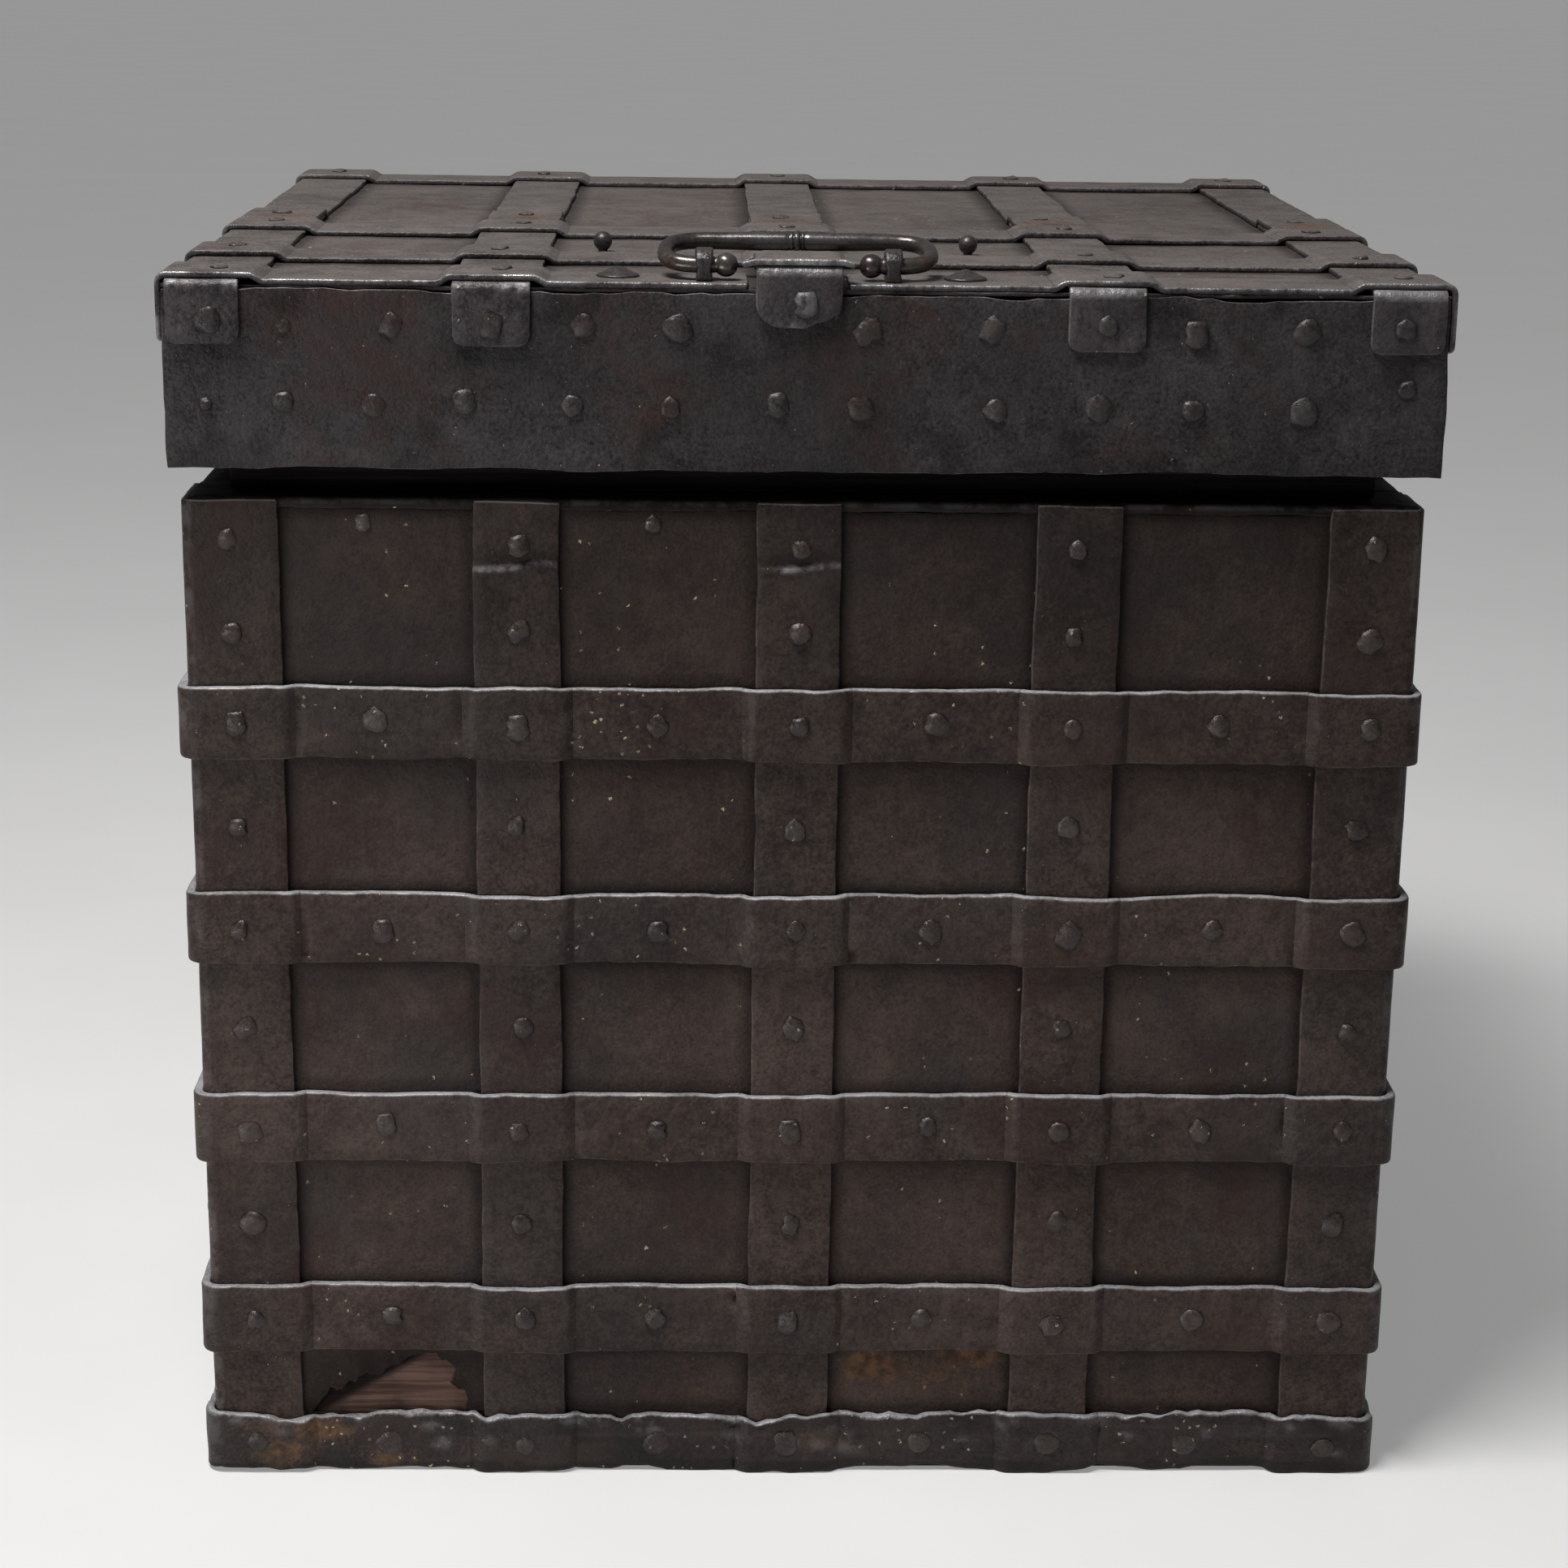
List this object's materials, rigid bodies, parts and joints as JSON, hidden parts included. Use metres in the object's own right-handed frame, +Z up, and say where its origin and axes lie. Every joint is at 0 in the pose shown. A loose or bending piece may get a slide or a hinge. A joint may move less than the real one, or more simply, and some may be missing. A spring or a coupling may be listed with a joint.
{
  "type": "iron-clad strongbox",
  "caption": "Wooden strongbox clad in sheet iron and bound with riveted straps and bands, with a deep hinged lid, a bail handle and a key-driven bolt lock under the lid.",
  "frame": {"origin": "on the floor, under the middle of the box", "axes": "+Z up, front of the box towards -Y, +X to the right as seen from the front"},
  "size_m": [0.6324, 0.6232, 0.6493],
  "materials": {
    "sheet_iron": "dark, pitted",
    "strap_iron": "dark, worn edges",
    "rivet_iron": "dark, hammered",
    "handle_iron": "worn satin",
    "lock_iron": "dull, oiled",
    "old_wood": "bare, aged"
  },
  "bodies": {
    "box": {"box_front_board": "old_wood", "box_back_board": "old_wood", "box_left_board": "old_wood", "box_right_board": "old_wood", "box_floor_board": "old_wood", "box_front_sheet": "sheet_iron", "box_back_sheet": "sheet_iron", "box_side_sheets": "sheet_iron", "box_floor_sheet": "sheet_iron", "rim_strips": "sheet_iron", "corner_angles": "strap_iron", "front_straps": "strap_iron", "back_straps": "strap_iron", "side_straps": "strap_iron", "band_1": "strap_iron", "band_2": "strap_iron", "band_3": "strap_iron", "band_4": "strap_iron", "base_band": "strap_iron", "front_rivets": "rivet_iron", "side_rivets": "rivet_iron", "back_rivets": "rivet_iron", "hinge_leaves": "strap_iron", "hinge_pins": "handle_iron", "side_strikes": "lock_iron", "front_strike": "lock_iron"},
    "lid": {"lid_top_board": "old_wood", "lid_front_board": "old_wood", "lid_back_board": "old_wood", "lid_left_board": "old_wood", "lid_right_board": "old_wood", "lid_frame_front": "old_wood", "lid_frame_back": "old_wood", "lid_frame_left": "old_wood", "lid_frame_right": "old_wood", "lid_top_sheet": "sheet_iron", "apron_front": "sheet_iron", "apron_back": "sheet_iron", "apron_sides": "sheet_iron", "lid_front_straps": "strap_iron", "lid_centre_strap": "strap_iron", "lid_rear_straps": "strap_iron", "lid_hinge_straps": "strap_iron", "front_cross_straps": "strap_iron", "cross_straps": "strap_iron", "bridge_plate": "strap_iron", "bail_posts": "handle_iron", "ball_knobs": "handle_iron", "dome_bosses": "handle_iron", "apron_rivets": "rivet_iron", "lid_top_rivets": "rivet_iron", "lock_plate": "lock_iron", "bolt_guides": "lock_iron"},
    "bail": {"bail": "handle_iron"},
    "key_disc": {"key_disc": "lock_iron"},
    "bolt_left": {"bolt_left": "lock_iron"},
    "bolt_right": {"bolt_right": "lock_iron"},
    "bolt_front": {"bolt_front": "lock_iron"}
  },
  "joints": [
    {"name": "lid_hinge", "type": "hinge", "parent": "box", "child": "lid", "pos_m": [0, 0.308, 0.53], "axis": [-1, 0, 0], "range_deg": [0, 100]},
    {"name": "bail_swing", "type": "hinge", "parent": "lid", "child": "bail", "pos_m": [-0.005, -0.287, 0.6363], "axis": [1, 0, 0], "range_deg": [0, 175]},
    {"name": "key_turn", "type": "hinge", "parent": "lid", "child": "key_disc", "pos_m": [-0.005, -0.105, 0.6], "axis": [0, 0, 1], "range_deg": [0, 37]},
    {"name": "bolt_right_slide", "type": "slide", "parent": "lid", "child": "bolt_right", "axis": [1, 0, 0], "range_m": [0, 0.0164]},
    {"name": "bolt_left_slide", "type": "slide", "parent": "lid", "child": "bolt_left", "axis": [-1, 0, 0], "range_m": [0, 0.0166]},
    {"name": "bolt_front_slide", "type": "slide", "parent": "lid", "child": "bolt_front", "axis": [0, -1, 0], "range_m": [0, 0.0166]}
  ],
  "couplings": [
    {"joint": "key_turn", "follows": "bolt_right_slide", "rad_per_m": 39.13},
    {"joint": "bolt_left_slide", "follows": "bolt_right_slide", "ratio": 1},
    {"joint": "bolt_front_slide", "follows": "bolt_right_slide", "ratio": 1}
  ]
}
